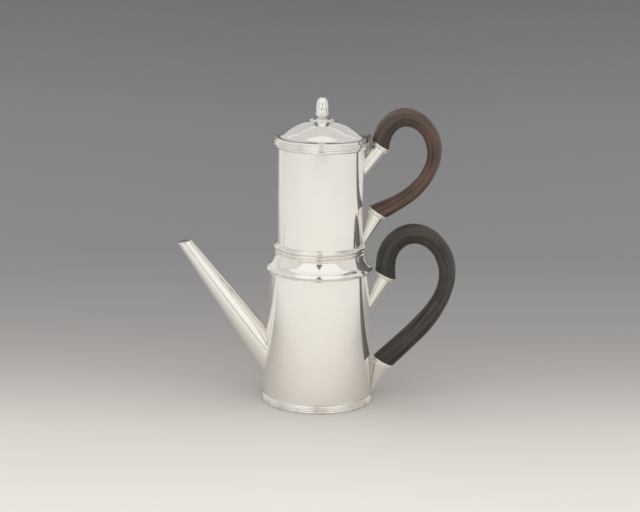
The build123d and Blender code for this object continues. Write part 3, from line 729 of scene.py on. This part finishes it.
nut_radius, nut_bottom, nut_top = span("finial_nut")
nut_side = 6.9
nut_point = (2.6, nut_top - 0.9)
outline = [(0, nut_bottom), (nut_radius - 0.3, nut_bottom)]
outline += arc(outline[-1], (nut_radius - 0.5, nut_bottom + nut_side), -0.35, 8)
outline += arc(outline[-1], nut_point, -0.7, 12) + arc(nut_point, (0, nut_top), -0.3, 8)
mesh = spun(outline, soften=0, steps=96)
finish("acorn_nut", mesh, polished_silver, "lid", "silver", "finial_nut", crease=math.radians(50))
for node in ("finial_stud", "finial_stud_nut"):
    keep(node, inner_silver)

# Hinge: three small silver knuckles on a pin, the middle one soldered to the lid and the outer two
# to the rim. They get a dark, mottled silver that is rougher than the rest.
dull_dark = (0.13, 0.12, 0.105)
dull_light = (0.34, 0.32, 0.29)
dull_silver = bpy.data.materials.new("dull_silver")
dull_silver.use_nodes = True
tree = dull_silver.node_tree
shader = tree.nodes["Principled BSDF"]
shader.inputs["Metallic"].default_value = 0.9
clouds = noise(tree, 700, 3, tree.nodes.new("ShaderNodeTexCoord").outputs["Object"])
tree.links.new(blend_colours(tree, clouds, dull_dark, dull_light), shader.inputs["Base Color"])
tree.links.new(remap(tree, clouds, 0.3, 0.7, 0.25, 0.45), shader.inputs["Roughness"])
for node in ("hinge_fixed_leaves", "hinge_pin", "lid_knuckle"):
    keep(node, dull_silver)

# Handle sockets: four slanting cones of sheet soldered to the walls, each with a flat flange at its
# mouth, a strip of small beads under the flange, and a cross pin through the wood.
sockets = {
    "drum_handle_top": dict(place=(50.2, 224.2), radius=6.7, flange=8.8, slope=55.5, mouth=59.0, half=4.0),
    "drum_handle_low": dict(place=(49.1, 166.7), radius=7.3, flange=8.6, slope=65.5, mouth=58.5, half=9.5),
    "pot_handle_top": dict(place=(57.4, 111.2), radius=6.8, flange=9.5, slope=63.0, mouth=65.5, half=7.0),
    "pot_handle_low": dict(place=(57.1, 34.2), radius=8.1, flange=9.5, slope=71.5, mouth=63.5, half=13.5),
}
socket_reach = 45.0
flange_sheet = 1.1
bead_radius = 0.75
bead_pitch = 1.75
bead_strip = 1.65
strip_sheet = 0.5


def drum_wall_radius(height):
    """Outer radius of the drum, which is the same at any height."""
    return drum_radius


def slanting(degrees):
    """Unit direction down towards the axis of the pot, at an angle below the horizontal."""
    return Vector((-math.cos(math.radians(degrees)), 0, -math.sin(math.radians(degrees))))


for name, socket in sockets.items():
    body, wall_radius = ("drum", drum_wall_radius) if name.startswith("drum") else ("pot", pot_wall_radius)
    place = Vector((socket["place"][0], 0, socket["place"][1])) * mm
    down, into = slanting(socket["slope"]), slanting(socket["mouth"])
    radius, spread = socket["radius"], math.tan(math.radians(socket["half"]))

    mesh = bmesh.new()
    reach = min((radius - 0.3) / spread, socket_reach)
    open_cone(mesh, place, down, radius, -spread, before=4, length=reach + 4, cuts=40)
    cut(mesh, place, -into)
    root = Vector(((wall_radius(socket["place"][1]) - 4) * mm, 0, 0))
    cut(mesh, root, Vector((-1, 0, 0)))
    bmesh.ops.holes_fill(mesh, edges=[edge for edge in mesh.edges if edge.is_boundary], sides=0)
    sink(mesh, wall_radius)
    finish(f"{name}_cone", mesh, polished_silver, body, "silver", f"{name}_socket")

    mesh = bmesh.new()
    bmesh.ops.create_cone(
        mesh, cap_ends=True, segments=96, radius1=socket["flange"] * mm, radius2=socket["flange"] * mm,
        depth=flange_sheet * mm,
    )
    rims = [edge for edge in mesh.edges if abs(edge.verts[0].co.z - edge.verts[1].co.z) < 1e-6]
    ease(mesh, rims, 0.3, 3)
    bmesh.ops.transform(mesh, matrix=stood(place - into * (flange_sheet / 2 * mm), into), verts=mesh.verts)
    finish(f"{name}_plate", mesh, moulded_silver, body, "silver", f"{name}_flange")

    tilt = math.tan(math.radians(abs(socket["slope"] - socket["mouth"])))
    start = radius * tilt + 0.3
    high = radius - start * spread
    low = high - bead_strip * spread
    mesh = bmesh.new()
    bmesh.ops.create_cone(
        mesh, cap_ends=False, segments=96, radius1=(high + strip_sheet) * mm, radius2=(low + strip_sheet) * mm,
        depth=bead_strip * mm,
    )
    bmesh.ops.solidify(mesh, geom=mesh.faces[:], thickness=strip_sheet * mm)
    bead_ring = (high + low) / 2 + strip_sheet
    count = round(2 * math.pi * bead_ring / bead_pitch)
    for number in range(count):
        turn = 2 * math.pi * number / count
        spot = Matrix.Translation((bead_ring * math.cos(turn) * mm, bead_ring * math.sin(turn) * mm, 0))
        bmesh.ops.create_icosphere(mesh, subdivisions=2, radius=bead_radius * mm, matrix=spot)
    bmesh.ops.transform(mesh, matrix=stood(place + down * ((start + bead_strip / 2) * mm), down), verts=mesh.verts)
    finish(f"{name}_bead_strip", mesh, moulded_silver, body, "silver", f"{name}_beads", crease=math.radians(50))

for node in ("drum_handle_pins", "pot_handle_pins"):
    keep(node, moulded_silver)

# Grips: each bent to a C from one round stick of wood, brown on the drum and blackened on the pot,
# oiled and rubbed by hands. The grain runs along the bend, and round tenons go into the sockets.
grain_relief = 0.2 * mm


def wood_grain():
    """Old close-grained wood on the coordinates of the straight stick: streaks, pores and rubbing."""
    tree = bpy.data.node_groups.new("wood_grain", "ShaderNodeTree")
    ends = tree.interface
    for name in ("Dark", "Light", "Worn"):
        ends.new_socket(name, in_out="INPUT", socket_type="NodeSocketColor")
    ends.new_socket("Wear", in_out="INPUT", socket_type="NodeSocketFloat").default_value = 0.5
    ends.new_socket("Color", in_out="OUTPUT", socket_type="NodeSocketColor")
    ends.new_socket("Roughness", in_out="OUTPUT", socket_type="NodeSocketFloat")
    ends.new_socket("Height", in_out="OUTPUT", socket_type="NodeSocketFloat")
    given = tree.nodes.new("NodeGroupInput").outputs
    stick = tree.nodes.new("ShaderNodeAttribute")
    stick.attribute_name = "unbent"
    fibres = tree.nodes.new("ShaderNodeMapping")
    fibres.inputs["Scale"].default_value = (1, 1, 0.045)
    tree.links.new(stick.outputs["Vector"], fibres.inputs["Vector"])
    streaks = noise(tree, 650, 5, fibres.outputs["Vector"])
    bands = noise(tree, 190, 3, fibres.outputs["Vector"])
    pores = noise(tree, 1500, 2, fibres.outputs["Vector"])
    patches = noise(tree, 34, 3, stick.outputs["Vector"])
    tone = combine(tree, "ADD", combine(tree, "MULTIPLY", streaks, 0.5), combine(tree, "MULTIPLY", bands, 0.5))
    colour = blend_colours(tree, remap(tree, tone, 0.40, 0.60, 0.0, 1.0), given["Dark"], given["Light"])
    rubbed = combine(tree, "MULTIPLY", remap(tree, patches, 0.48, 0.62, 0.0, 1.0), given["Wear"])
    rubbed = combine(tree, "MULTIPLY", rubbed, remap(tree, streaks, 0.35, 0.65, 0.3, 1.0))
    colour = blend_colours(tree, rubbed, colour, given["Worn"])
    out = tree.nodes.new("NodeGroupOutput").inputs
    tree.links.new(colour, out["Color"])
    tree.links.new(remap(tree, pores, 0.3, 0.7, 0.34, 0.50), out["Roughness"])
    tree.links.new(combine(tree, "ADD", combine(tree, "MULTIPLY", pores, 0.4), streaks), out["Height"])
    return tree


grain = wood_grain()


def wood(name, dark, light, worn, wear_amount):
    """A wood finish in its own colours."""
    material = bpy.data.materials.new(name)
    material.use_nodes = True
    nodes, links = material.node_tree.nodes, material.node_tree.links
    shader = nodes["Principled BSDF"]
    group = nodes.new("ShaderNodeGroup")
    group.node_tree = grain
    group.inputs["Dark"].default_value = (*dark, 1)
    group.inputs["Light"].default_value = (*light, 1)
    group.inputs["Worn"].default_value = (*worn, 1)
    group.inputs["Wear"].default_value = wear_amount
    relief = nodes.new("ShaderNodeBump")
    relief.inputs["Strength"].default_value = 0.5
    relief.inputs["Distance"].default_value = grain_relief
    links.new(group.outputs["Color"], shader.inputs["Base Color"])
    links.new(group.outputs["Roughness"], shader.inputs["Roughness"])
    links.new(group.outputs["Height"], relief.inputs["Height"])
    links.new(relief.outputs["Normal"], shader.inputs["Normal"])
    return material


brown_wood = wood("brown_wood", (0.018, 0.011, 0.007), (0.105, 0.068, 0.046), (0.165, 0.062, 0.040), 0.6)
black_wood = wood("black_wood", (0.008, 0.006, 0.005), (0.050, 0.040, 0.031), (0.085, 0.064, 0.048), 0.5)

drum_grip_line = [
    (49.8, 219.0), (51.0, 230.5), (55.6, 240.8), (65.0, 248.0), (76.6, 248.2), (88.0, 240.6), (94.6, 228.4),
    (95.7, 215.4), (91.6, 202.4), (83.4, 190.2), (72.6, 180.4), (59.8, 172.6), (43.5, 164.2),
]
drum_grip_thickness = [(0, 15.2), (0.22, 15.8), (0.42, 13.4), (0.6, 11.6), (0.8, 12.7), (1, 15.6)]
pot_grip_line = [
    (57.4, 105.0), (57.2, 118.0), (58.9, 131.0), (65.6, 142.0), (77.0, 148.2), (89.4, 147.2), (100.4, 139.6),
    (108.2, 127.0), (110.6, 113.0), (108.0, 98.0), (101.2, 83.4), (90.8, 69.0), (78.2, 55.4), (65.6, 42.8),
    (52.6, 30.0),
]
pot_grip_thickness = [(0, 18.4), (0.08, 17.0), (0.25, 17.4), (0.42, 15.2), (0.57, 13.9), (0.78, 17.2), (1, 18.2)]
tenon_radius = 3.6
tenon_depth = 10.0


def smooth_value(pairs, share):
    """A value at a share of the length, eased between the given pairs."""
    for (start, first), (end, second) in zip(pairs, pairs[1:]):
        if share <= end:
            part = (share - start) / (end - start)
            return first + (second - first) * part * part * (3 - 2 * part)
    return pairs[-1][1]


def bent_line(points, steps):
    """Places and directions at even shares of a smooth curve through points (x, z)."""
    curve = bpy.data.curves.new("bend", "CURVE")
    curve.dimensions = "3D"
    curve.resolution_u = 24
    spline = curve.splines.new("BEZIER")
    spline.bezier_points.add(len(points) - 1)
    for knot, (x, z) in zip(spline.bezier_points, points):
        knot.co = (x * mm, 0, z * mm)
        knot.handle_left_type = knot.handle_right_type = "AUTO"
    holder = bpy.data.objects.new("bend", curve)
    scene.collection.objects.link(holder)
    bpy.context.view_layer.update()
    sampled = bpy.data.meshes.new_from_object(holder)
    trail = [vert.co.copy() for vert in sampled.vertices]
    bpy.data.objects.remove(holder)
    bpy.data.curves.remove(curve)
    bpy.data.meshes.remove(sampled)
    lengths = [0.0]
    for first, second in zip(trail, trail[1:]):
        lengths.append(lengths[-1] + (second - first).length)
    places = []
    index = 0
    for step in range(steps + 1):
        wanted = lengths[-1] * step / steps
        while index < len(trail) - 2 and lengths[index + 1] < wanted:
            index += 1
        part = (wanted - lengths[index]) / (lengths[index + 1] - lengths[index])
        places.append(trail[index].lerp(trail[index + 1], part))
    directions = [
        (places[min(step + 1, steps)] - places[max(step - 1, 0)]).normalized() for step in range(steps + 1)
    ]
    return places, directions, lengths[-1]


def bend_stick(name, points, thickness, ends, material, slot, body, node, steps=120):
    """Turn a straight stick, note its straight coordinates, bend it, and cut it to its flanges."""
    places, directions, length = bent_line(points, steps)
    mesh = bmesh.new()
    ring = bmesh.ops.create_circle(mesh, segments=64, radius=smooth_value(thickness, 0) / 2 * mm)["verts"]
    edges = mesh.edges[:]
    for step in range(1, steps + 1):
        share = step / steps
        made = bmesh.ops.extrude_edge_only(mesh, edges=edges)["geom"]
        ring = [part for part in made if isinstance(part, bmesh.types.BMVert)]
        edges = [part for part in made if isinstance(part, bmesh.types.BMEdge)]
        grow = smooth_value(thickness, share) / smooth_value(thickness, share - 1 / steps)
        bmesh.ops.scale(mesh, verts=ring, vec=(grow, grow, 1))
        bmesh.ops.translate(mesh, verts=ring, vec=(0, 0, length / steps))
    unbent = mesh.verts.layers.float_vector.new("unbent")
    for vert in mesh.verts:
        vert[unbent] = vert.co
        step = min(steps, round(vert.co.z / length * steps))
        side = directions[step].cross(Vector((0, 1, 0)))
        vert.co = places[step] + side * vert.co.x + Vector((0, 1, 0)) * vert.co.y
    for end in ends:
        socket = sockets[end]
        place = Vector((socket["place"][0], 0, socket["place"][1])) * mm
        into = slanting(socket["mouth"])
        near = [face for face in mesh.faces if (face.calc_center_median() - place).length < 25 * mm]
        near = list({part for face in near for part in (*face.verts, *face.edges)}) + near
        bmesh.ops.bisect_plane(
            mesh, geom=near, dist=1e-7, plane_co=place - into * (flange_sheet * mm), plane_no=into, clear_outer=True
        )
    bmesh.ops.holes_fill(mesh, edges=[edge for edge in mesh.edges if edge.is_boundary], sides=0)
    ease(mesh, [edge for edge in mesh.edges if edge.calc_face_angle(0) > math.radians(50)], 0.3, 2)
    for end in ends:
        socket = sockets[end]
        down = slanting(socket["slope"])
        place = Vector((socket["place"][0], 0, socket["place"][1])) * mm
        reach = tenon_depth + flange_sheet + 1
        middle = place + down * ((tenon_depth - flange_sheet - 1) / 2 * mm)
        bmesh.ops.create_cone(
            mesh, cap_ends=True, segments=48, radius1=tenon_radius * mm, radius2=tenon_radius * mm, depth=reach * mm,
            matrix=stood(middle, down),
        )
    finish(name, mesh, material, body, slot, node)


bend_stick(
    "drum_grip", drum_grip_line, drum_grip_thickness, ("drum_handle_top", "drum_handle_low"), brown_wood, "brown_wood",
    "drum", "drum_handle_grip",
)
bend_stick(
    "pot_grip", pot_grip_line, pot_grip_thickness, ("pot_handle_top", "pot_handle_low"), black_wood, "black_wood",
    "pot", "pot_handle_grip",
)
